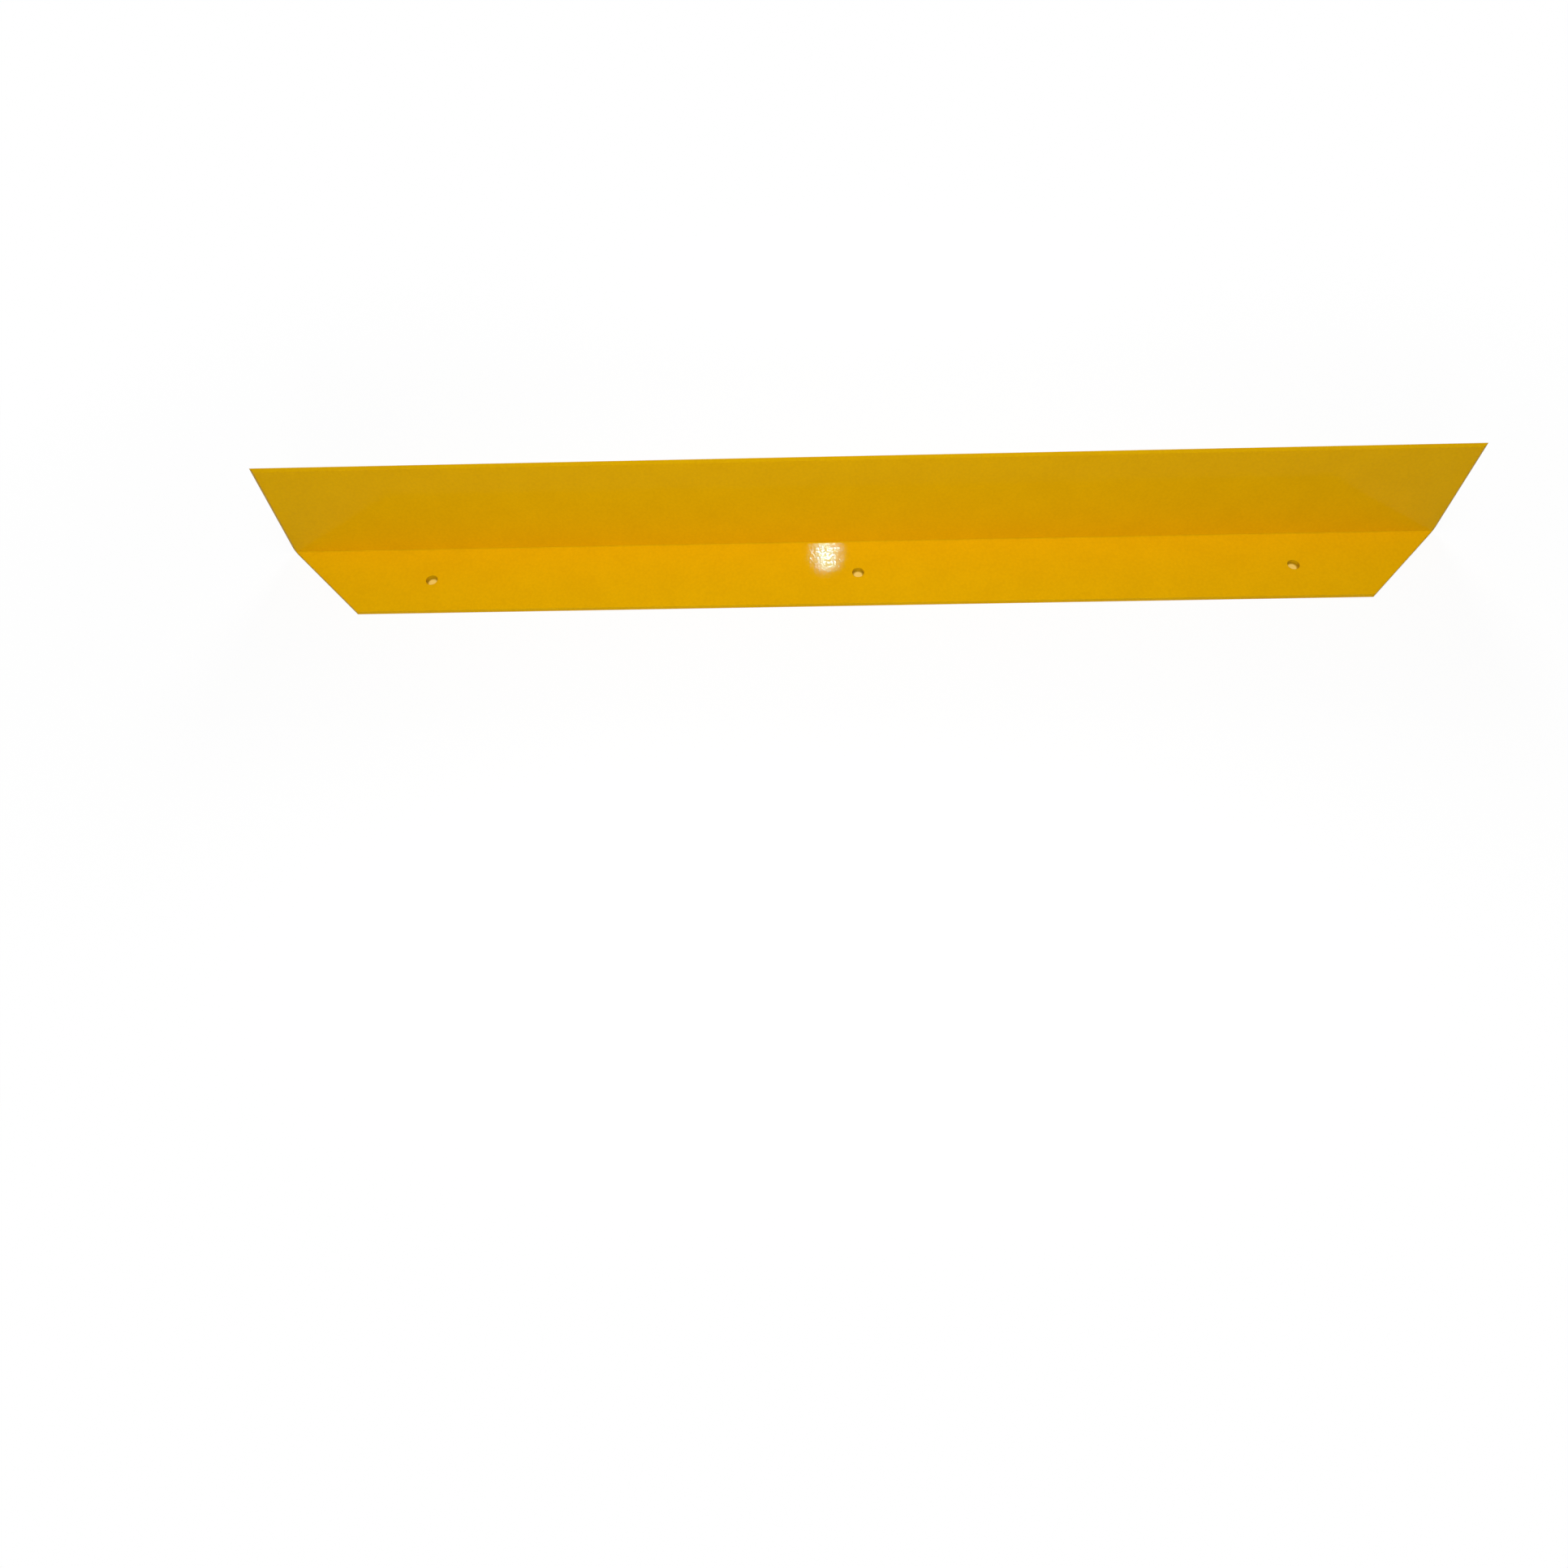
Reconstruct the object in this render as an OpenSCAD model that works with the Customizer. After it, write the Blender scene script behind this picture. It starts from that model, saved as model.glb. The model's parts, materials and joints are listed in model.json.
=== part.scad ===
// Steel angle kerb guard: one plate folded on a press brake into an angle with
// unequal legs, sawn to a mitre at both ends, drilled for floor anchors and
// powder coated.
//
// Frame: millimetres, +Z up. X runs along the guard. The upright leg stands at
// the +Y side and the floor leg lies towards -Y. The origin is the centre of
// the footprint, on the floor.

/* [Folded section] */
// Height of the upright leg, from the floor to its top edge
upright_h = 150; // [60:1:300]
// Width of the floor leg, from the back face to its toe
floor_leg_w = 100; // [70:1:250]
// Thickness of the plate
plate_t = 6; // [3:0.5:12]
// Inside radius of the fold
fold_r = 1; // [0.5:0.5:12]

/* [Length and ends] */
// Length of the guard along its back face, where it is longest
guard_l = 1400; // [800:10:3000]
// Angle that each end is cut back from square, seen from above
mitre_angle = 45; // [0:1:50]

/* [Anchor holes] */
// Number of anchor holes, in one row
hole_count = 3; // [2:1:6]
// Diameter of an anchor hole
hole_d = 14; // [8:0.5:26]
// Distance from the back face to the centre line of the row
hole_back_mark = 54; // [30:1:85]
// Distance from each end of the back face to the nearest hole's centre
hole_end_distance = 183; // [120:1:300]

/* [Coat] */
// Colour of the powder coat, as red, green and blue
coat_colour = [0.87, 0.65, 0.01]; // [0:0.01:1]

/* [Hidden] */

// How far each cutting shape runs past the plate
cut_margin = 5;
// Segments of a full circle in the preview
$fn = 96;

// Outside radius of the fold, at the heel
heel_r = fold_r + plate_t;
// Distance between neighbouring anchor holes
hole_pitch = (guard_l - 2 * hole_end_distance) / (hole_count - 1);

// Quarter ring that joins the two legs, in the section's own axes:
// the heel's sharp corner is the origin, +x towards the floor leg's toe
module fold_ring() {
    translate([heel_r, heel_r]) {
        intersection() {
            difference() {
                circle(r = heel_r);
                circle(r = fold_r);
            }
            translate([-heel_r, -heel_r]) {
                square(heel_r);
            }
        }
    }
}

// Section of the folded plate: floor leg along +x, upright leg along +y
module folded_section() {
    translate([heel_r, 0]) {
        square([floor_leg_w - heel_r, plate_t]);
    }
    translate([0, heel_r]) {
        square([plate_t, upright_h - heel_r]);
    }
    fold_ring();
}

// Full length of folded plate with square ends, its back face on the plane y = 0
module folded_bar() {
    rotate([90, 0, -90]) {
        linear_extrude(height = guard_l, center = true) {
            folded_section();
        }
    }
}

// What the mitre saw takes off the +X end. The cut is upright and goes
// through both legs, and it starts from the heel at the full length.
module mitre_offcut() {
    slope = tan(mitre_angle);
    toe_y = -floor_leg_w - cut_margin;
    far_x = cut_margin * (1 + slope);
    translate([guard_l / 2, 0, -cut_margin]) {
        linear_extrude(height = upright_h + 2 * cut_margin) {
            polygon([
                [cut_margin * slope, cut_margin],
                [toe_y * slope, toe_y],
                [far_x, toe_y],
                [far_x, cut_margin],
            ]);
        }
    }
}

// One anchor hole's drill, through the floor leg
module anchor_drill() {
    translate([0, -hole_back_mark, -cut_margin]) {
        cylinder(d = hole_d, h = plate_t + 2 * cut_margin);
    }
}

// The whole guard
module kerb_angle() {
    color(coat_colour) {
        translate([0, floor_leg_w / 2, 0]) {
            difference() {
                folded_bar();
                mitre_offcut();
                mirror([1, 0, 0]) {
                    mitre_offcut();
                }
                for (i = [0 : hole_count - 1]) {
                    translate([i * hole_pitch + hole_end_distance - guard_l / 2, 0, 0]) {
                        anchor_drill();
                    }
                }
            }
        }
    }
}

kerb_angle();
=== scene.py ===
import json
import math

import bpy
from bpy.props import FloatProperty, FloatVectorProperty, IntProperty, PointerProperty
from mathutils import Matrix, Vector


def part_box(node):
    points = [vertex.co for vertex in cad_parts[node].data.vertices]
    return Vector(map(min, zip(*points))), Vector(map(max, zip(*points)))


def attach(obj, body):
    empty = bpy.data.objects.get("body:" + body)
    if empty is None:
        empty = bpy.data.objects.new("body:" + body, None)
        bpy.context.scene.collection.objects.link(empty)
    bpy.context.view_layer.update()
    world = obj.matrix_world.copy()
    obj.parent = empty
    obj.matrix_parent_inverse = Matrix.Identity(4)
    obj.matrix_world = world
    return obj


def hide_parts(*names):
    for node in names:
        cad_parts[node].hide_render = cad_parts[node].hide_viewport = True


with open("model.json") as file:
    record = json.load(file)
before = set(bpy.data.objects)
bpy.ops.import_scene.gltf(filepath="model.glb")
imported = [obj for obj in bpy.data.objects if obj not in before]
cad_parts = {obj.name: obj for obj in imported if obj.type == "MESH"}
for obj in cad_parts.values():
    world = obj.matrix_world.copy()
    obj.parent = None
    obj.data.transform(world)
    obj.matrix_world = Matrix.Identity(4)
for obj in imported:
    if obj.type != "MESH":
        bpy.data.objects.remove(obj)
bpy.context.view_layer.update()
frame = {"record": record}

bl_info = {
    "name": "Steel angle kerb guard",
    "version": (1, 0, 0),
    "blender": (4, 5, 0),
    "location": "3D View > Sidebar > Kerb Guard",
    "description": "Folds, saws, drills and powder coats a steel angle kerb guard, and lights it",
    "category": "Object",
}

MM = 0.001
BODY = "root"
ANGLE = "kerb_angle"

mounts = {mount["name"]: mount for mount in frame["record"]["mounts"]}
hole_pair = mounts["anchor_holes_left"]
mitre_axis = mounts["mitre_right"]["axis"]
angle_low, angle_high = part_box(ANGLE)
angle_size = angle_high - angle_low


# Sizes and settings

class KerbGuardSizes(bpy.types.PropertyGroup):
    """Sizes of the folded angle, from the frame"""

    length: FloatProperty(
        name="Length", description="Length along the back face, where the guard is longest",
        default=angle_size.x, min=0.8, max=3.0, precision=4, unit="LENGTH")
    upright_height: FloatProperty(
        name="Upright leg", description="Height of the upright leg, from the floor to its top edge",
        default=angle_size.z, min=0.06, max=0.3, precision=4, unit="LENGTH")
    floor_leg_width: FloatProperty(
        name="Floor leg", description="Width of the floor leg, from the back face to its toe",
        default=angle_size.y, min=0.07, max=0.25, precision=4, unit="LENGTH")
    plate: FloatProperty(
        name="Plate", description="Thickness of the plate",
        default=hole_pair["pos_m"][2], min=0.003, max=0.012, precision=4, unit="LENGTH")
    fold_radius: FloatProperty(
        name="Fold radius", description="Inside radius of the fold",
        default=1 * MM, min=0.0005, max=0.012, precision=4, unit="LENGTH")
    mitre: FloatProperty(
        name="Mitre", description="Angle that each end is cut back from square, seen from above",
        default=math.atan2(-mitre_axis[1], mitre_axis[0]), min=0.0, max=math.radians(50),
        subtype="ANGLE")
    hole_diameter: FloatProperty(
        name="Hole diameter", description="Diameter of an anchor hole",
        default=2 * hole_pair["dims"]["hole_r_mm"] * MM, min=0.008, max=0.026, precision=4,
        unit="LENGTH")
    hole_row: FloatProperty(
        name="Hole row", description="Distance from the back face to the centre line of the holes",
        default=angle_high.y - hole_pair["pos_m"][1], min=0.03, max=0.085, precision=4,
        unit="LENGTH")
    hole_pitch: FloatProperty(
        name="Hole pitch", description="Distance between neighbouring holes",
        default=hole_pair["dims"]["spacing_x_mm"] * MM, min=0.05, max=1.0, precision=4,
        unit="LENGTH")
    hole_count: IntProperty(
        name="Holes", description="Number of anchor holes, in one row",
        default=3, min=2, max=6)
    edge_radius: FloatProperty(
        name="Edge round", description="How far in from an edge its rounding under the coat starts",
        default=0.5 * MM, min=0.0001, max=0.002, precision=5, unit="LENGTH")
    fold_steps: IntProperty(
        name="Fold steps", description="Number of flat strips that make up the round of the fold",
        default=24, min=4, max=64)


class KerbGuardCoat(bpy.types.PropertyGroup):
    """Colours and finish of the powder coat"""

    colour: FloatVectorProperty(
        name="Colour", description="Colour of the yellow powder coat",
        default=(0.77, 0.431, 0.001), min=0.0, max=1.0, subtype="COLOR", size=3)
    deep_colour: FloatVectorProperty(
        name="Deep colour", description="Colour of the coat where its film lies thickest",
        default=(0.714, 0.39, 0.001), min=0.0, max=1.0, subtype="COLOR", size=3)
    roughness: FloatProperty(
        name="Roughness", description="Roughness of the coat's skin between its ripples",
        default=0.09, min=0.02, max=1.0)
    gloss_level: FloatProperty(
        name="Gloss level", description="Strength of the coat's reflection",
        default=0.02, min=0.0, max=1.0)
    gloss_tint: FloatVectorProperty(
        name="Gloss tint", description="Tint of what the coat reflects, white at a glancing angle",
        default=(0.9, 0.8, 0.3), min=0.0, max=1.0, subtype="COLOR", size=3)
    # Painted shade: how far the inside corner of the fold is darkened
    corner_shade_depth: FloatProperty(
        name="Corner depth", description="How far the thin film of the inside corner darkens the coat",
        default=0.09, min=0.0, max=1.0)
    # Painted shade: how far the walls of the holes are darkened
    bore_shade_depth: FloatProperty(
        name="Bore depth", description="How far the thin film inside the holes darkens the coat",
        default=0.13, min=0.0, max=1.0)
    # How much darker the top edge and the sawn ends are made
    edge_depth: FloatProperty(
        name="Edge depth", description="How far the thin film of the top edge and sawn ends darkens them",
        default=0.14, min=0.0, max=1.0)
    thin_roughness: FloatProperty(
        name="Thin film roughness", description="Roughness of the coat where its film is thin",
        default=0.45, min=0.02, max=1.0)
    ripple_size: FloatProperty(
        name="Ripple size", description="Distance from one ripple of the orange peel to the next",
        default=3.5 * MM, min=0.0005, max=0.02, precision=5, unit="LENGTH")
    ripple_depth: FloatProperty(
        name="Ripple depth", description="Height of the orange peel's ripples",
        default=0.038 * MM, min=0.0, max=0.001, precision=6, unit="LENGTH")


class KerbGuardStudio(bpy.types.PropertyGroup):
    """Camera, lamps, floor and surroundings"""

    camera_place: FloatVectorProperty(
        name="Camera", description="Where the camera stands",
        default=(-0.0614, -0.9146, 1.1579), subtype="TRANSLATION", size=3)
    camera_pitch: FloatProperty(
        name="Pitch", description="How far the camera looks down from level",
        default=math.radians(54.62), subtype="ANGLE")
    camera_heading: FloatProperty(
        name="Heading", description="How far the camera turns to the left of +Y",
        default=math.radians(2.94), subtype="ANGLE")
    camera_roll: FloatProperty(
        name="Roll", description="How far the camera is tilted about its line of sight",
        default=math.radians(-3.34), subtype="ANGLE")
    focal_pixels: FloatProperty(
        name="Focal length", description="Focal length in pixels of the picture",
        default=1500.97, min=100.0)
    axis_pixel: FloatVectorProperty(
        name="Axis pixel", description="Pixel of the picture that the line of sight passes through",
        default=(951.05, 785.19), size=2)
    picture_pixels: IntProperty(
        name="Picture", description="Width and height of the picture in pixels",
        default=1932, min=64)
    floor_size: FloatProperty(
        name="Floor size", description="Length of each side of the floor",
        default=16.0, min=2.0, unit="LENGTH")
    floor_colour: FloatVectorProperty(
        name="Floor colour", description="Colour of the plain floor",
        default=(0.5, 0.5, 0.5), min=0.0, max=1.0, subtype="COLOR", size=3)
    floor_white: FloatProperty(
        name="Floor white", description="Seen light of the floor by the guard that no shadow takes away",
        default=0.88, min=0.0, max=1.0)
    # Painted light: colour of the lit spot on the floor in each hole
    floor_painted_light: FloatVectorProperty(
        name="Floor under", description="Colour of the floor under the guard, seen through its holes",
        default=(1.0, 0.72, 0.17), min=0.0, max=1.0, subtype="COLOR", size=3)
    # Painted shade: colour of the floor at the foot of a hole's wall
    floor_shade: FloatVectorProperty(
        name="Floor shade", description="Colour of the floor at the foot of a hole's wall",
        default=(0.56, 0.34, 0.015), min=0.0, max=1.0, subtype="COLOR", size=3)
    hole_light: FloatProperty(
        name="Light in a hole", description="Radius of the lit spot on the floor under a hole",
        default=5.2 * MM, min=0.001, precision=4, unit="LENGTH")
    hole_light_fade: FloatProperty(
        name="Fade in a hole", description="Width over which the lit spot under a hole fades to shade",
        default=2 * MM, min=0.0001, precision=4, unit="LENGTH")
    floor_reach: FloatVectorProperty(
        name="Floor reach", description="How far along and across the floor shadows still show",
        default=(1.3, 0.8), min=0.1, size=2, unit="LENGTH")
    sky_light: FloatProperty(
        name="Sky light", description="Strength of the even light from all round",
        default=0.2, min=0.0)
    key_place: FloatVectorProperty(
        name="Key lamp's place", description="Where the large soft lamp over the guard hangs",
        default=(-0.05, -0.7, 2.2), subtype="TRANSLATION", size=3)
    key_size: FloatProperty(
        name="Key lamp's size", description="Length of each side of the large soft lamp",
        default=1.5, min=0.1, unit="LENGTH")
    key_watts: FloatProperty(
        name="Key lamp", description="Power of the large soft lamp over the guard",
        default=35.0, min=0.0)
    front_place: FloatVectorProperty(
        name="Front lamp's place", description="Where the low soft lamp before the guard stands",
        default=(-0.18, -1.9, 0.82), subtype="TRANSLATION", size=3)
    front_size: FloatProperty(
        name="Front lamp's size", description="Length of each side of the low soft lamp",
        default=0.5, min=0.1, unit="LENGTH")
    front_watts: FloatProperty(
        name="Front lamp", description="Power of the low soft lamp before the guard",
        default=13.4, min=0.0)
    back_place: FloatVectorProperty(
        name="Back lamp's place", description="Where the low soft lamp behind the guard stands",
        default=(0.15, 2.0, 0.85), subtype="TRANSLATION", size=3)
    back_size: FloatProperty(
        name="Back lamp's size", description="Length of each side of the lamp behind the guard",
        default=1.0, min=0.1, unit="LENGTH")
    back_watts: FloatProperty(
        name="Back lamp", description="Power of the low soft lamp behind the guard",
        default=25.0, min=0.0)
    glint_pixel: FloatVectorProperty(
        name="Glint pixel", description="Pixel of the picture where both glint lamps are mirrored",
        default=(1018.0, 682.0), size=2)
    glow_watts: FloatProperty(
        name="Glow lamp", description="Power of the glint lamp that fills the bright patch evenly",
        default=75.0, min=0.0)
    glow_radius: FloatProperty(
        name="Glow radius", description="Radius of the glint lamp that fills the bright patch",
        default=16 * MM, min=0.001, precision=4, unit="LENGTH")
    glow_cone: FloatProperty(
        name="Glow cone", description="Width of the glow lamp's beam",
        default=math.radians(1.2), min=0.01, subtype="ANGLE")
    glow_colour: FloatVectorProperty(
        name="Glow colour", description="Colour of the glow lamp, which makes up for the gloss tint",
        default=(0.3, 1.0, 1.9), min=0.0, size=3)
    sparkle_watts: FloatProperty(
        name="Sparkle lamp", description="Power of the small glint lamp, which ripples mirror as dots",
        default=10.0, min=0.0)
    sparkle_radius: FloatProperty(
        name="Sparkle radius", description="Radius of the small glint lamp, and so of each dot",
        default=6 * MM, min=0.001, precision=4, unit="LENGTH")
    sparkle_cone: FloatProperty(
        name="Sparkle cone", description="Width of the small glint lamp's beam",
        default=math.radians(2.4), min=0.01, subtype="ANGLE")
    sparkle_colour: FloatVectorProperty(
        name="Sparkle colour", description="Colour of the small glint lamp",
        default=(0.6, 1.0, 0.7), min=0.0, size=3)


# Node trees

def new_node(tree, kind, inputs=None, **settings):
    """Adds a node, sets its settings, and sets or links its inputs by name."""
    made = tree.nodes.new(kind)
    for name, value in settings.items():
        setattr(made, name, value)
    for name, value in (inputs or {}).items():
        if isinstance(value, bpy.types.NodeSocket):
            tree.links.new(value, made.inputs[name])
        else:
            made.inputs[name].default_value = value
    return made


def maths(tree, operation, first, second=0.0):
    """One step of arithmetic on two sockets or numbers; returns its result's socket."""
    step = tree.nodes.new("ShaderNodeMath")
    step.operation = operation
    for socket, value in zip(step.inputs, (first, second)):
        if isinstance(value, bpy.types.NodeSocket):
            tree.links.new(value, socket)
        else:
            socket.default_value = value
    return step.outputs["Value"]


def point(tree, x, y, z):
    """A place from three sockets or numbers."""
    return new_node(tree, "ShaderNodeCombineXYZ", {"X": x, "Y": y, "Z": z}).outputs["Vector"]


def choose(tree, values):
    """One of several vectors, by the index of the point that asks."""
    switch = new_node(tree, "GeometryNodeIndexSwitch", data_type="VECTOR")
    while len(switch.index_switch_items) < len(values):
        switch.index_switch_items.new()
    index = new_node(tree, "GeometryNodeInputIndex")
    tree.links.new(index.outputs["Index"], switch.inputs["Index"])
    for number, value in enumerate(values):
        tree.links.new(value, switch.inputs[str(number)])
    return switch.outputs["Output"]


# Distance to the holes, for the coat and for the floor

HOLE_DISTANCE = "Distance to nearest hole"
HOLE_DISTANCE_INPUTS = {
    "Place": "NodeSocketVector",
    "Hole X": "NodeSocketFloat",
    "Row Y": "NodeSocketFloat",
    "Pitch": "NodeSocketFloat",
}


def hole_distance_group():
    """The node group that measures how far a place is from the nearest hole of an endless row."""
    if HOLE_DISTANCE in bpy.data.node_groups:
        return bpy.data.node_groups[HOLE_DISTANCE]
    tree = bpy.data.node_groups.new(HOLE_DISTANCE, "ShaderNodeTree")
    for name, kind in HOLE_DISTANCE_INPUTS.items():
        tree.interface.new_socket(name, in_out="INPUT", socket_type=kind)
    tree.interface.new_socket("Distance", in_out="OUTPUT", socket_type="NodeSocketFloat")
    given = tree.nodes.new("NodeGroupInput").outputs
    parts = new_node(tree, "ShaderNodeSeparateXYZ", {"Vector": given["Place"]}).outputs
    along = new_node(tree, "ShaderNodeMath", {
        0: maths(tree, "SUBTRACT", parts["X"], given["Hole X"]),
        1: maths(tree, "MULTIPLY", given["Pitch"], 0.5),
        2: maths(tree, "MULTIPLY", given["Pitch"], -0.5),
    }, operation="WRAP").outputs["Value"]
    across = maths(tree, "SUBTRACT", parts["Y"], given["Row Y"])
    squares = maths(tree, "ADD", maths(tree, "MULTIPLY", along, along),
                    maths(tree, "MULTIPLY", across, across))
    out = tree.nodes.new("NodeGroupOutput")
    tree.links.new(maths(tree, "SQRT", squares), out.inputs["Distance"])
    return tree


def off_hole_axis(tree, place, sizes):
    """How far a place is from the axis of the nearest anchor hole."""
    # An even row has the guard's middle between two holes
    middle_to_hole = sizes.hole_pitch / 2 * ((sizes.hole_count + 1) % 2)
    return new_node(tree, "ShaderNodeGroup", {
        "Place": place,
        "Hole X": middle_to_hole,
        "Row Y": sizes.floor_leg_width / 2 - sizes.hole_row,
        "Pitch": sizes.hole_pitch,
    }, node_tree=hole_distance_group()).outputs["Distance"]


# The folded, sawn and drilled angle

SIZE_INPUTS = {
    "length": "NodeSocketFloat",
    "upright_height": "NodeSocketFloat",
    "floor_leg_width": "NodeSocketFloat",
    "plate": "NodeSocketFloat",
    "fold_radius": "NodeSocketFloat",
    "mitre": "NodeSocketFloat",
    "hole_diameter": "NodeSocketFloat",
    "hole_row": "NodeSocketFloat",
    "hole_pitch": "NodeSocketFloat",
    "hole_count": "NodeSocketInt",
    "fold_steps": "NodeSocketInt",
}
# Flat sides that make up a round hole
HOLE_SIDES = 96
# Length of a drill, in thicknesses of the plate
DRILL_REACH = 4.0
# Side of the block that stands for what the saw takes off
SAW_ROOM = 0.6
# Strips that make up the rounding of an edge
EDGE_STRIPS = 3
# An edge where the faces turn by more than this is rounded
SHARP_ANGLE = math.radians(35)


def folded_bar(tree, size):
    """The plate folded to an angle: its mid line, rounded at the fold, swept with a flat section."""
    half_plate = maths(tree, "MULTIPLY", size["plate"], 0.5)
    back = maths(tree, "MULTIPLY", size["floor_leg_width"], 0.5)
    toe_y = maths(tree, "MULTIPLY", size["floor_leg_width"], -0.5)
    mid_y = maths(tree, "SUBTRACT", back, half_plate)
    toe = point(tree, 0.0, toe_y, half_plate)
    heel = point(tree, 0.0, mid_y, half_plate)
    top = point(tree, 0.0, mid_y, size["upright_height"])
    corners = [toe, heel, top]
    line = new_node(tree, "GeometryNodeMeshLine", {"Count": len(corners)})
    bent = new_node(tree, "GeometryNodeSetPosition", {
        "Geometry": line.outputs["Mesh"],
        "Position": choose(tree, corners),
    })
    mid_line = new_node(tree, "GeometryNodeMeshToCurve", {"Mesh": bent.outputs["Geometry"]})
    folded = new_node(tree, "GeometryNodeFilletCurve", {
        "Curve": mid_line.outputs["Curve"],
        "Count": size["fold_steps"],
        "Radius": maths(tree, "ADD", size["fold_radius"], half_plate),
    }, mode="POLY")
    section = new_node(tree, "GeometryNodeCurvePrimitiveQuadrilateral", {
        "Width": size["length"],
        "Height": size["plate"],
    })
    return new_node(tree, "GeometryNodeCurveToMesh", {
        "Curve": folded.outputs["Curve"],
        "Profile Curve": section.outputs["Curve"],
        "Fill Caps": True,
    }).outputs["Mesh"]


def mitre_offcuts(tree, size):
    """What the mitre saw takes off both ends: a block set at each heel and turned to the cut."""
    block = new_node(tree, "GeometryNodeMeshCube", {"Size": (SAW_ROOM, SAW_ROOM, SAW_ROOM)})
    beside = new_node(tree, "GeometryNodeTransform", {
        "Geometry": block.outputs["Mesh"],
        "Translation": (SAW_ROOM / 2, 0.0, 0.0),
    })
    half_length = maths(tree, "MULTIPLY", size["length"], 0.5)
    other_half = maths(tree, "MULTIPLY", size["length"], -0.5)
    back = maths(tree, "MULTIPLY", size["floor_leg_width"], 0.5)
    heel_places = [point(tree, half_length, back, 0.0), point(tree, other_half, back, 0.0)]
    heels = new_node(tree, "GeometryNodeSetPosition", {
        "Geometry": new_node(tree, "GeometryNodeMeshLine", {"Count": len(heel_places)}).outputs["Mesh"],
        "Position": choose(tree, heel_places),
    })
    right_turn = point(tree, 0.0, 0.0, maths(tree, "MULTIPLY", size["mitre"], -1.0))
    left_turn = point(tree, 0.0, 0.0, maths(tree, "ADD", size["mitre"], math.pi))
    return new_node(tree, "GeometryNodeInstanceOnPoints", {
        "Points": heels.outputs["Geometry"],
        "Instance": beside.outputs["Geometry"],
        "Rotation": choose(tree, [right_turn, left_turn]),
    }).outputs["Instances"]


def anchor_drills(tree, size):
    """A drill at each place of the row of anchor holes."""
    gaps = maths(tree, "SUBTRACT", size["hole_count"], 1.0)
    row_length = maths(tree, "MULTIPLY", size["hole_pitch"], gaps)
    back = maths(tree, "MULTIPLY", size["floor_leg_width"], 0.5)
    row_y = maths(tree, "SUBTRACT", back, size["hole_row"])
    row = new_node(tree, "GeometryNodeMeshLine", {
        "Count": size["hole_count"],
        "Start Location": point(tree, maths(tree, "MULTIPLY", row_length, -0.5), row_y, 0.0),
        "Offset": point(tree, size["hole_pitch"], 0.0, 0.0),
    })
    drill = new_node(tree, "GeometryNodeMeshCylinder", {
        "Vertices": HOLE_SIDES,
        "Radius": maths(tree, "MULTIPLY", size["hole_diameter"], 0.5),
        "Depth": maths(tree, "MULTIPLY", size["plate"], DRILL_REACH),
    })
    return new_node(tree, "GeometryNodeInstanceOnPoints", {
        "Points": row.outputs["Mesh"],
        "Instance": drill.outputs["Mesh"],
    }).outputs["Instances"]


def angle_tree():
    """The node tree that folds, saws and drills the angle, with its sizes as named inputs."""
    tree = bpy.data.node_groups.new("Kerb angle", "GeometryNodeTree")
    for name, kind in SIZE_INPUTS.items():
        tree.interface.new_socket(name, in_out="INPUT", socket_type=kind)
    tree.interface.new_socket("coat", in_out="INPUT", socket_type="NodeSocketMaterial")
    tree.interface.new_socket("Geometry", in_out="OUTPUT", socket_type="NodeSocketGeometry")
    size = tree.nodes.new("NodeGroupInput").outputs
    cutters = new_node(tree, "GeometryNodeJoinGeometry")
    for part in (mitre_offcuts(tree, size), anchor_drills(tree, size)):
        tree.links.new(part, cutters.inputs["Geometry"])
    cut = new_node(tree, "GeometryNodeMeshBoolean", {
        "Mesh 1": folded_bar(tree, size),
        "Mesh 2": cutters.outputs["Geometry"],
    }, operation="DIFFERENCE", solver="EXACT")
    real = new_node(tree, "GeometryNodeRealizeInstances", {"Geometry": cut.outputs["Mesh"]})
    coated = new_node(tree, "GeometryNodeSetMaterial", {
        "Geometry": real.outputs["Geometry"],
        "Material": size["coat"],
    })
    out = tree.nodes.new("NodeGroupOutput")
    tree.links.new(coated.outputs["Geometry"], out.inputs["Geometry"])
    return tree


def set_tree_inputs(modifier, values):
    """Sets a modifier's inputs, each by its socket's identifier."""
    for item in modifier.node_group.interface.items_tree:
        if item.in_out == "INPUT" and item.name in values:
            modifier[item.identifier] = values[item.name]


def baked(piece):
    """Replaces a piece's mesh by what its modifiers make of it, and removes them."""
    bpy.context.view_layer.update()
    evaluated = piece.evaluated_get(bpy.context.evaluated_depsgraph_get())
    mesh = bpy.data.meshes.new_from_object(evaluated)
    piece.modifiers.clear()
    piece.data = mesh
    mesh.name = piece.name
    return piece


def round_edges(piece, radius):
    """Rounds every sharp edge, as the coat does, with flat faces kept flat."""
    bevel = piece.modifiers.new("coat_edges", "BEVEL")
    bevel.width = radius
    bevel.segments = EDGE_STRIPS
    bevel.limit_method = "ANGLE"
    bevel.angle_limit = SHARP_ANGLE
    bevel.use_clamp_overlap = False
    bevel.harden_normals = True


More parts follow.
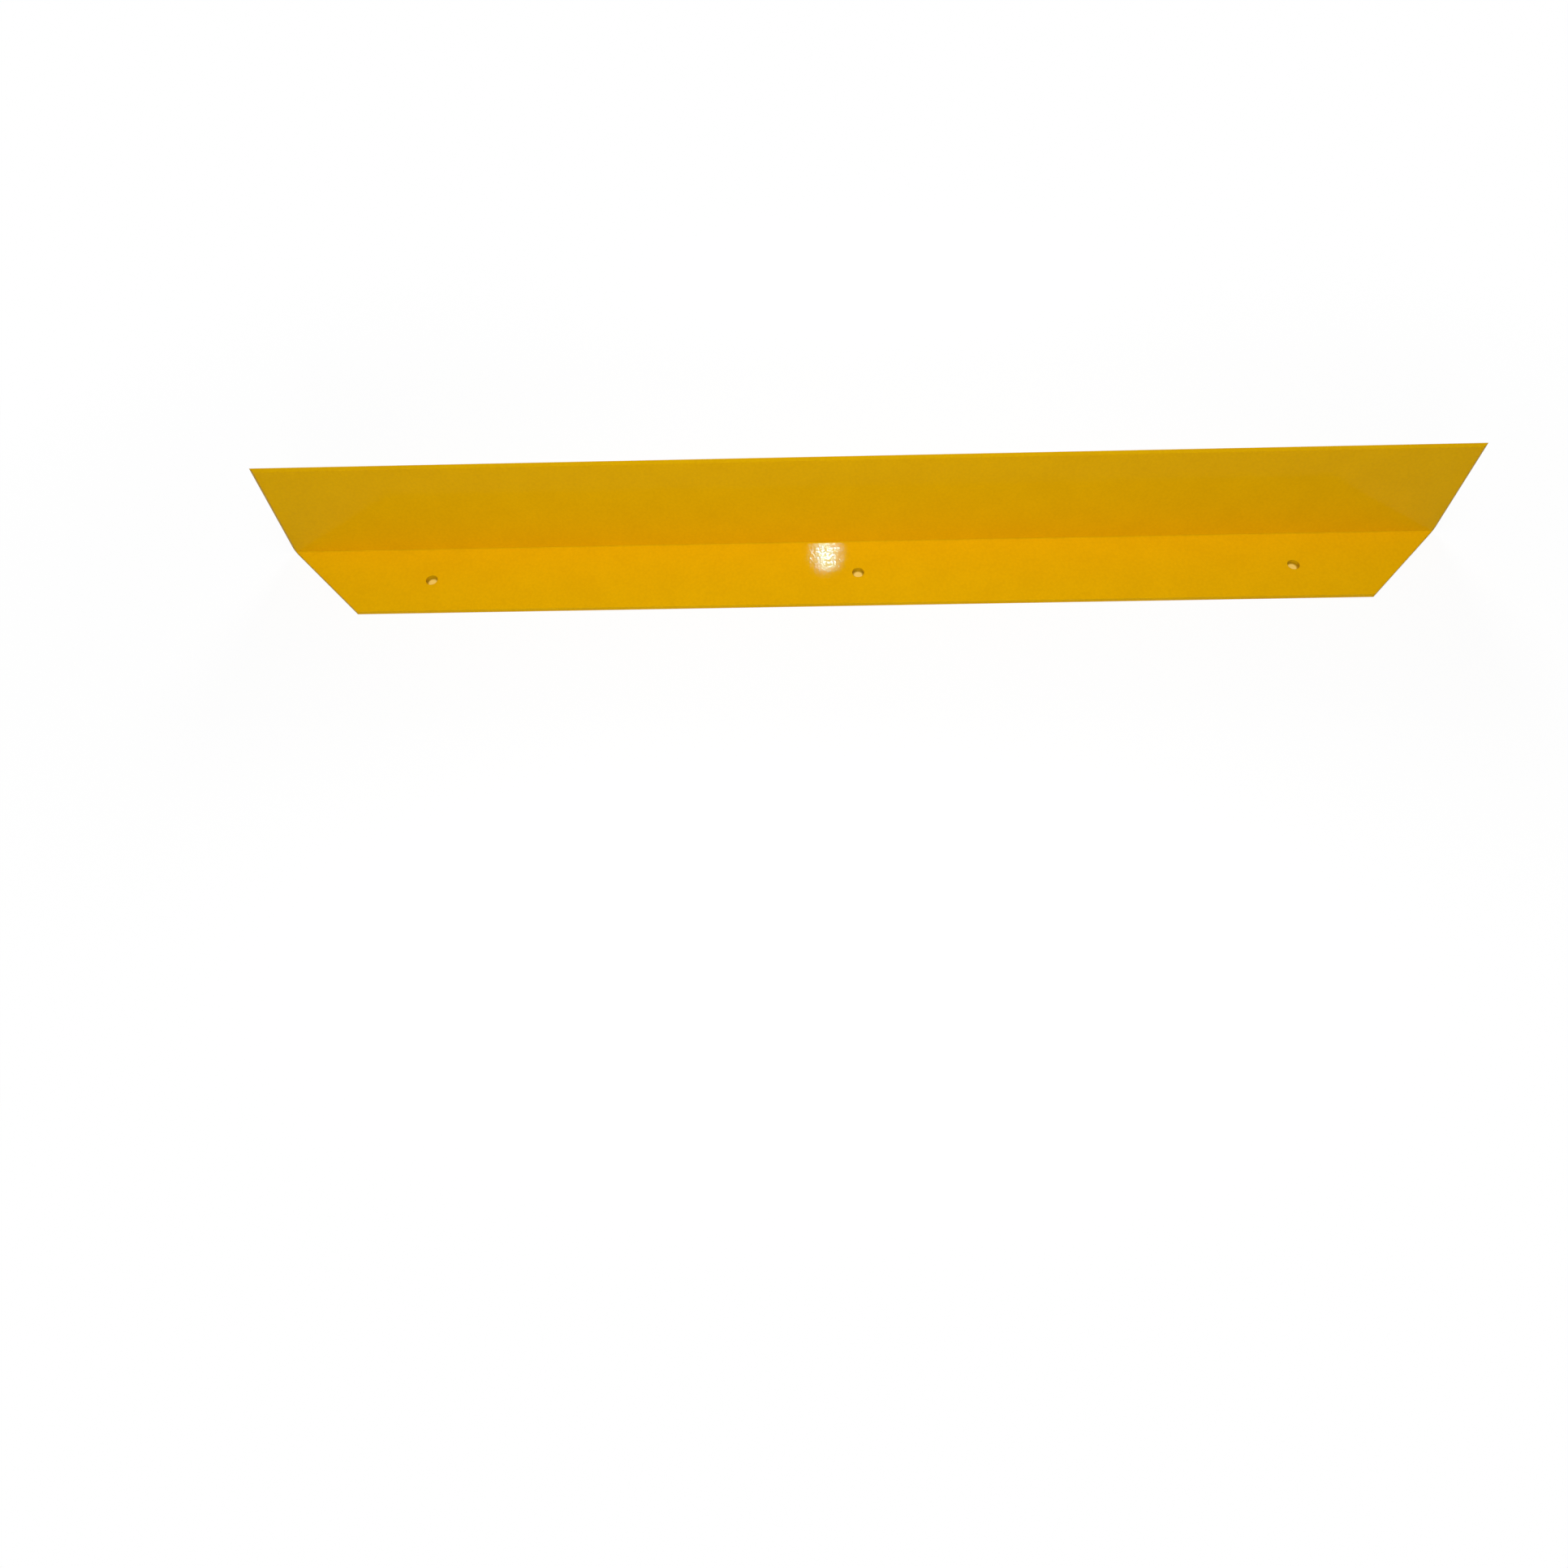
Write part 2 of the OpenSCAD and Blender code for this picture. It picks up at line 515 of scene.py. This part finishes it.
def make_angle(sizes, coat):
    """The kerb guard as one plain mesh, in its place in the frame."""
    piece = bpy.data.objects.new("kerb_guard_angle", bpy.data.meshes.new("kerb_guard_angle"))
    bpy.context.scene.collection.objects.link(piece)
    shaping = piece.modifiers.new("fold_saw_drill", "NODES")
    shaping.node_group = angle_tree()
    values = {name: getattr(sizes, name) for name in SIZE_INPUTS}
    values["coat"] = coat
    set_tree_inputs(shaping, values)
    baked(piece)
    piece.data.polygons.foreach_set("use_smooth", [True] * len(piece.data.polygons))
    round_edges(piece, sizes.edge_radius)
    return baked(piece)


# The powder coat

BLACK = (0.0, 0.0, 0.0, 1.0)
WHITE = (1.0, 1.0, 1.0, 1.0)
# Width over which the painted shade of the inside corner fades out
CORNER_FADE = 0.3 * MM
# How far outside a hole's wall, and how far below its rim, its painted shade and rougher skin end
BORE_FADE = 0.2 * MM
# Size of the broad ripples of the orange peel, in fine ripples
BROAD_RIPPLES = 3.3
# Steps of finer noise in the broad ripples
BROAD_DETAIL = 0.0
# Size of the patches where the film lies a little thicker or thinner
CLOUD_SIZE = 42 * MM
# Steps of finer noise in those patches
CLOUD_DETAIL = 3.0
# How much the valleys between fine ripples deepen the film, beside the patches
VALLEY_SHARE = 0.8
# Levels of the film's noise that give the deep colour and the plain colour
FILM_DEEP = -0.2
FILM_FULL = 0.6


def corner_mask(tree, place, sizes):
    """1 on the fold's inside corner and 0 on the flat legs: where the coat gets painted shade and a
    rougher skin.
    """
    in_section = new_node(tree, "ShaderNodeVectorMath", {
        0: place,
        1: (0.0, 1.0, 1.0),
    }, operation="MULTIPLY").outputs["Vector"]
    inset = sizes.plate + sizes.fold_radius
    off_axis = new_node(tree, "ShaderNodeVectorMath", {
        0: in_section,
        1: (0.0, sizes.floor_leg_width / 2 - inset, inset),
    }, operation="DISTANCE")
    return new_node(tree, "ShaderNodeMapRange", {
        "Value": off_axis.outputs["Value"],
        "From Min": sizes.fold_radius,
        "From Max": sizes.fold_radius + CORNER_FADE,
        "To Min": 1.0,
        "To Max": 0.0,
    }, interpolation_type="SMOOTHSTEP").outputs["Result"]


def bore_mask(tree, place, sizes):
    """1 on the walls of the anchor holes, and 0 elsewhere."""
    height = new_node(tree, "ShaderNodeSeparateXYZ", {"Vector": place}).outputs["Z"]
    off_axis = off_hole_axis(tree, place, sizes)
    bore_shade = maths(tree, "LESS_THAN", off_axis, sizes.hole_diameter / 2 + BORE_FADE)
    return maths(tree, "MULTIPLY", bore_shade, maths(tree, "LESS_THAN", height, sizes.plate - BORE_FADE))


def edge_mask(tree, place, sizes):
    """1 on the top edge and the sawn ends, and 0 on the plate's broad faces."""
    parts = new_node(tree, "ShaderNodeSeparateXYZ", {"Vector": place}).outputs
    half_width = sizes.floor_leg_width / 2
    from_top = maths(tree, "SUBTRACT", sizes.upright_height, parts["Z"])
    from_back = maths(tree, "SUBTRACT", half_width, parts["Y"])
    cut_back = maths(tree, "MULTIPLY", from_back, math.tan(sizes.mitre))
    cut_x = maths(tree, "SUBTRACT", sizes.length / 2, cut_back)
    along = maths(tree, "SUBTRACT", cut_x, maths(tree, "ABSOLUTE", parts["X"]))
    from_cut = maths(tree, "MULTIPLY", along, math.cos(sizes.mitre))
    return new_node(tree, "ShaderNodeMapRange", {
        "Value": maths(tree, "MINIMUM", from_cut, from_top),
        "From Max": sizes.edge_radius,
        "To Min": 1.0,
        "To Max": 0.0,
    }, interpolation_type="SMOOTHSTEP").outputs["Result"]


def mixed_colour(tree, share, first, second):
    """Two colours, each a socket or four numbers, mixed by a share."""
    mix = new_node(tree, "ShaderNodeMix", data_type="RGBA", blend_type="MIX")
    colours = [socket for socket in mix.inputs if socket.type == "RGBA"]
    tree.links.new(share, mix.inputs["Factor"])
    for socket, colour in zip(colours, (first, second)):
        if isinstance(colour, bpy.types.NodeSocket):
            tree.links.new(colour, socket)
        else:
            socket.default_value = colour
    return [socket for socket in mix.outputs if socket.type == "RGBA"][0]


def coat_material(coat, sizes):
    """Gloss yellow powder coat with orange peel in two sizes.

    Its film is deeper in patches and in the valleys of the peel. Painted shade darkens it in the
    inside corner and in the holes, and it is made darker on the top edge and on the sawn ends.
    """
    material = bpy.data.materials.new("yellow_powder_coat")
    material.use_nodes = True
    tree = material.node_tree
    shader = tree.nodes["Principled BSDF"]
    place = new_node(tree, "ShaderNodeTexCoord").outputs["Object"]
    cells = new_node(tree, "ShaderNodeTexVoronoi", {
        "Vector": place,
        "Scale": 1.0 / coat.ripple_size,
    })
    broad = new_node(tree, "ShaderNodeTexNoise", {
        "Vector": place,
        "Scale": 1.0 / (BROAD_RIPPLES * coat.ripple_size),
        "Detail": BROAD_DETAIL,
    })
    off_dome = cells.outputs["Distance"]
    height = maths(tree, "SUBTRACT", broad.outputs["Fac"], maths(tree, "MULTIPLY", off_dome, off_dome))
    peel = new_node(tree, "ShaderNodeBump", {
        "Distance": coat.ripple_depth,
        "Height": height,
    })
    tree.links.new(peel.outputs["Normal"], shader.inputs["Normal"])
    cloud = new_node(tree, "ShaderNodeTexNoise", {
        "Vector": place,
        "Scale": 1.0 / CLOUD_SIZE,
        "Detail": CLOUD_DETAIL,
    })
    film = new_node(tree, "ShaderNodeMapRange", {
        "Value": maths(tree, "SUBTRACT", cloud.outputs["Fac"],
                       maths(tree, "MULTIPLY", off_dome, VALLEY_SHARE)),
        "From Min": FILM_DEEP,
        "From Max": FILM_FULL,
    })
    deep = (*coat.deep_colour, 1.0)
    plain = (*coat.colour, 1.0)
    film_colour = mixed_colour(tree, film.outputs["Result"], deep, plain)
    corner = corner_mask(tree, place, sizes)
    bore = bore_mask(tree, place, sizes)
    edge = edge_mask(tree, place, sizes)
    # Painted shade: the inside corner of the fold is made darker
    corner_shade = maths(tree, "MULTIPLY", corner, coat.corner_shade_depth)
    # Painted shade: the walls of the holes are made darker
    bore_shade = maths(tree, "MULTIPLY", bore, coat.bore_shade_depth)
    # The top edge and the sawn ends are made darker
    edge_darkening = maths(tree, "MULTIPLY", edge, coat.edge_depth)
    # Painted shade in the corner and the holes, with the darker edges, mixed towards black
    darkened = maths(tree, "MAXIMUM", corner_shade, maths(tree, "MAXIMUM", bore_shade, edge_darkening))
    colour = mixed_colour(tree, darkened, film_colour, BLACK)
    tree.links.new(colour, shader.inputs["Base Color"])
    roughness = new_node(tree, "ShaderNodeMapRange", {
        "Value": maths(tree, "MAXIMUM", edge, maths(tree, "MAXIMUM", corner, bore)),
        "To Min": coat.roughness,
        "To Max": coat.thin_roughness,
    })
    tree.links.new(roughness.outputs["Result"], shader.inputs["Roughness"])
    shader.inputs["Specular IOR Level"].default_value = coat.gloss_level
    shader.inputs["Specular Tint"].default_value = (*coat.gloss_tint, 1.0)
    return material


# Stage

# Width of the camera's sensor in millimetres
SENSOR_WIDTH = 36.0
# Nearest and farthest that the camera sees, in metres
NEAR_LIMIT = 0.05
FAR_LIMIT = 100.0
# How far the floor lies under the guard, so that the two never share a plane
FLOOR_GAP = 0.1 * MM
# Share of the floor's reach within which shadows show at their full strength
FULL_SHADOW = 0.5
# How far inside the guard's footprint the floor's colour under it starts
FOOT_MARGIN = 8 * MM
# What the soft lamps look at
GUARD_CENTRE = Vector((0.0, 0.0, 0.05))
# Softness of a glint lamp's beam, where 1 fades from its middle to its edge
BEAM_SOFTNESS = 1.0


def turn_of_camera(studio):
    """The camera's turn: heading, then pitch, then roll about its own line of sight."""
    heading = Matrix.Rotation(studio.camera_heading, 4, "Z")
    pitch = Matrix.Rotation(math.pi / 2 - studio.camera_pitch, 4, "X")
    roll = Matrix.Rotation(studio.camera_roll, 4, "Z")
    return heading @ pitch @ roll


def make_camera(studio):
    """The camera at the place and angle of the picture, with the picture's off-centre framing."""
    camera = bpy.data.objects.new("camera", bpy.data.cameras.new("camera"))
    bpy.context.scene.collection.objects.link(camera)
    camera.matrix_world = Matrix.Translation(studio.camera_place) @ turn_of_camera(studio)
    pixels = studio.picture_pixels
    camera.data.sensor_width = SENSOR_WIDTH
    camera.data.lens = studio.focal_pixels / pixels * SENSOR_WIDTH
    camera.data.shift_x = (pixels / 2 - studio.axis_pixel[0]) / pixels
    camera.data.shift_y = (studio.axis_pixel[1] - pixels / 2) / pixels
    camera.data.clip_start = NEAR_LIMIT
    camera.data.clip_end = FAR_LIMIT
    bpy.context.scene.camera = camera


def ray_of_pixel(studio, pixel):
    """The direction from the camera through a pixel of the picture."""
    across = (pixel[0] - studio.axis_pixel[0]) / studio.focal_pixels
    down = (pixel[1] - studio.axis_pixel[1]) / studio.focal_pixels
    return (turn_of_camera(studio).to_3x3() @ Vector((across, -down, -1.0))).normalized()


def seen_share(tree):
    """1 where the camera, a mirror or glass looks, and 0 for light that only falls on things."""
    path = tree.nodes.new("ShaderNodeLightPath").outputs
    seen = maths(tree, "MAXIMUM", path["Is Camera Ray"], path["Is Glossy Ray"])
    return maths(tree, "MAXIMUM", seen, path["Is Transmission Ray"])


def under_guard(tree, place, sizes):
    """1 on the floor under the guard, between its two cut corners, and 0 elsewhere."""
    half_width = sizes.floor_leg_width / 2
    half_toe = sizes.length / 2 - sizes.floor_leg_width * math.tan(sizes.mitre)
    inside = new_node(tree, "ShaderNodeVectorMath", {0: place}, operation="ABSOLUTE")
    share = new_node(tree, "ShaderNodeVectorMath", {
        0: inside.outputs["Vector"],
        1: (1.0 / (half_toe - FOOT_MARGIN), 1.0 / (half_width - FOOT_MARGIN), 0.0),
    }, operation="MULTIPLY")
    parts = new_node(tree, "ShaderNodeSeparateXYZ", {"Vector": share.outputs["Vector"]}).outputs
    return maths(tree, "LESS_THAN", maths(tree, "MAXIMUM", parts["X"], parts["Y"]), 1.0)


def floor_under_colour(tree, place, studio, sizes):
    """The floor's colour under the guard: painted light in the middle of each hole, and painted shade at
    its wall.
    """
    lit = new_node(tree, "ShaderNodeMapRange", {
        "Value": off_hole_axis(tree, place, sizes),
        "From Min": studio.hole_light - studio.hole_light_fade / 2,
        "From Max": studio.hole_light + studio.hole_light_fade / 2,
        "To Min": 1.0,
        "To Max": 0.0,
    }, interpolation_type="SMOOTHSTEP").outputs["Result"]
    return mixed_colour(tree, lit, (*studio.floor_shade, 1.0), (*studio.floor_painted_light, 1.0))


def floor_material(studio, sizes):
    """Plain pale floor that keeps the guard's shadow and turns white away from it."""
    material = bpy.data.materials.new("pale_floor")
    material.use_nodes = True
    tree = material.node_tree
    tree.nodes.clear()
    plain = new_node(tree, "ShaderNodeBsdfDiffuse", {"Color": (*studio.floor_colour, 1.0)})
    reach_x, reach_y = studio.floor_reach
    place = new_node(tree, "ShaderNodeTexCoord").outputs["Object"]
    across = new_node(tree, "ShaderNodeVectorMath", {
        0: place,
        1: (1.0 / reach_x, 1.0 / reach_y, 0.0),
    }, operation="MULTIPLY")
    far = new_node(tree, "ShaderNodeVectorMath", {0: across.outputs["Vector"]}, operation="LENGTH")
    near_share = new_node(tree, "ShaderNodeMapRange", {
        "Value": far.outputs["Value"],
        "From Min": FULL_SHADOW,
        "From Max": 1.0,
        "To Min": 1.0,
        "To Max": 0.0,
    }, interpolation_type="SMOOTHSTEP").outputs["Result"]
    shadow_share = maths(tree, "MULTIPLY", near_share, 1.0 - studio.floor_white)
    # Under the guard the floor's colour holds painted light in each hole and painted shade at its wall
    under = under_guard(tree, place, sizes)
    painted_hole_floor = floor_under_colour(tree, place, studio, sizes)
    shaded = new_node(tree, "ShaderNodeBsdfDiffuse", {
        "Color": mixed_colour(tree, under, shadow_share, painted_hole_floor),
    })
    glow = maths(tree, "SUBTRACT", 1.0, maths(tree, "MAXIMUM", shadow_share, under))
    white = new_node(tree, "ShaderNodeEmission", {"Strength": glow})
    seen = tree.nodes.new("ShaderNodeAddShader")
    tree.links.new(shaded.outputs["BSDF"], seen.inputs[0])
    tree.links.new(white.outputs["Emission"], seen.inputs[1])
    choice = tree.nodes.new("ShaderNodeMixShader")
    tree.links.new(seen_share(tree), choice.inputs["Fac"])
    tree.links.new(plain.outputs["BSDF"], choice.inputs[1])
    tree.links.new(seen.outputs["Shader"], choice.inputs[2])
    out = tree.nodes.new("ShaderNodeOutputMaterial")
    tree.links.new(choice.outputs["Shader"], out.inputs["Surface"])
    return material


def make_floor(studio, sizes):
    """The floor, a hair under the guard."""
    half = studio.floor_size / 2
    mesh = bpy.data.meshes.new("floor")
    corners = [(-half, -half), (half, -half), (half, half), (-half, half)]
    mesh.from_pydata([(x, y, -FLOOR_GAP) for x, y in corners], [], [(0, 1, 2, 3)])
    floor = bpy.data.objects.new("floor", mesh)
    bpy.context.scene.collection.objects.link(floor)
    mesh.materials.append(floor_material(studio, sizes))


def make_surroundings(studio):
    """Even light from all round, and white where it is looked at."""
    world = bpy.data.worlds.new("surroundings")
    world.use_nodes = True
    bpy.context.scene.world = world
    tree = world.node_tree
    background = tree.nodes["Background"]
    strength = new_node(tree, "ShaderNodeMapRange", {
        "Value": seen_share(tree),
        "To Min": studio.sky_light,
        "To Max": 1.0,
    })
    background.inputs["Color"].default_value = WHITE
    tree.links.new(strength.outputs["Result"], background.inputs["Strength"])


def soft_lamp(name, place, size, watts, mirrored):
    """A square soft lamp that looks at the guard, doesn't show itself, and may show in the gloss."""
    lamp = bpy.data.objects.new(name, bpy.data.lights.new(name, "AREA"))
    bpy.context.scene.collection.objects.link(lamp)
    lamp.data.shape = "SQUARE"
    lamp.data.size = size
    lamp.data.energy = watts
    lamp.location = place
    lamp.rotation_euler = (GUARD_CENTRE - Vector(place)).to_track_quat("-Z", "Y").to_euler()
    lamp.visible_camera = False
    lamp.visible_glossy = mirrored


def glint_places(studio, sizes):
    """The patch on the floor leg at its pixel of the picture, and where a lamp is mirrored there."""
    eye = Vector(studio.camera_place)
    ray = ray_of_pixel(studio, studio.glint_pixel)
    to_leg = (sizes.plate - eye.z) / ray.z
    patch = eye + ray * to_leg
    return patch, patch + Vector((ray.x, ray.y, -ray.z)) * to_leg


def glint_lamp(name, places, radius, cone, watts, colour):
    """A narrow spot behind the guard whose mirror image makes a bright patch beside the fold.

    It casts no shadow, as its light comes to the floor leg through the place of the upright leg.
    """
    lamp = bpy.data.objects.new(name, bpy.data.lights.new(name, "SPOT"))
    bpy.context.scene.collection.objects.link(lamp)
    patch, lamp.location = places
    lamp.rotation_euler = (patch - lamp.location).to_track_quat("-Z", "Y").to_euler()
    lamp.data.spot_size = cone
    lamp.data.spot_blend = BEAM_SOFTNESS
    lamp.data.energy = watts
    lamp.data.color = colour
    lamp.data.shadow_soft_size = radius
    lamp.data.use_shadow = False
    lamp.data.cycles.use_multiple_importance_sampling = False
    lamp.visible_camera = False
    lamp.visible_diffuse = False


# Operators

class KERBGUARD_OT_angle(bpy.types.Operator):
    """Fold, saw, drill and coat the kerb guard's angle"""

    bl_idname = "kerbguard.angle"
    bl_label = "Build the angle"

    def execute(self, context):
        scene = context.scene
        sizes = scene.kerb_guard_sizes
        piece = make_angle(sizes, coat_material(scene.kerb_guard_coat, sizes))
        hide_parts(ANGLE)
        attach(piece, BODY)
        return {"FINISHED"}


class KERBGUARD_OT_stage(bpy.types.Operator):
    """Set the floor, the surroundings, the lamps and the camera"""

    bl_idname = "kerbguard.stage"
    bl_label = "Set the stage"

    def execute(self, context):
        scene = context.scene
        sizes = scene.kerb_guard_sizes
        studio = scene.kerb_guard_studio
        scene.view_settings.view_transform = "Standard"
        make_camera(studio)
        make_floor(studio, sizes)
        make_surroundings(studio)
        soft_lamp("key_lamp", studio.key_place, studio.key_size, studio.key_watts, True)
        soft_lamp("front_lamp", studio.front_place, studio.front_size, studio.front_watts, False)
        soft_lamp("back_lamp", studio.back_place, studio.back_size, studio.back_watts, False)
        places = glint_places(studio, sizes)
        glint_lamp("glow_lamp", places, studio.glow_radius, studio.glow_cone, studio.glow_watts,
                   studio.glow_colour)
        glint_lamp("sparkle_lamp", places, studio.sparkle_radius, studio.sparkle_cone,
                   studio.sparkle_watts, studio.sparkle_colour)
        return {"FINISHED"}


class KERBGUARD_PT_panel(bpy.types.Panel):
    """Sizes, coat and studio of the kerb guard"""

    bl_idname = "KERBGUARD_PT_panel"
    bl_label = "Kerb guard"
    bl_space_type = "VIEW_3D"
    bl_region_type = "UI"
    bl_category = "Kerb Guard"

    def draw(self, context):
        scene = context.scene
        groups = (scene.kerb_guard_sizes, scene.kerb_guard_coat, scene.kerb_guard_studio)
        for group in groups:
            box = self.layout.box()
            for name in group.bl_rna.properties.keys():
                if name not in {"rna_type", "name"}:
                    box.prop(group, name)
        self.layout.operator(KERBGUARD_OT_stage.bl_idname)
        self.layout.operator(KERBGUARD_OT_angle.bl_idname)


CLASSES = (
    KerbGuardSizes,
    KerbGuardCoat,
    KerbGuardStudio,
    KERBGUARD_OT_angle,
    KERBGUARD_OT_stage,
    KERBGUARD_PT_panel,
)


def register():
    for cls in CLASSES:
        bpy.utils.register_class(cls)
    bpy.types.Scene.kerb_guard_sizes = PointerProperty(type=KerbGuardSizes)
    bpy.types.Scene.kerb_guard_coat = PointerProperty(type=KerbGuardCoat)
    bpy.types.Scene.kerb_guard_studio = PointerProperty(type=KerbGuardStudio)


def unregister():
    del bpy.types.Scene.kerb_guard_studio
    del bpy.types.Scene.kerb_guard_coat
    del bpy.types.Scene.kerb_guard_sizes
    for cls in reversed(CLASSES):
        bpy.utils.unregister_class(cls)


def main():
    """Registers the classes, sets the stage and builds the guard."""
    register()
    bpy.ops.kerbguard.stage()
    bpy.ops.kerbguard.angle()


if __name__ == "__main__":
    main()
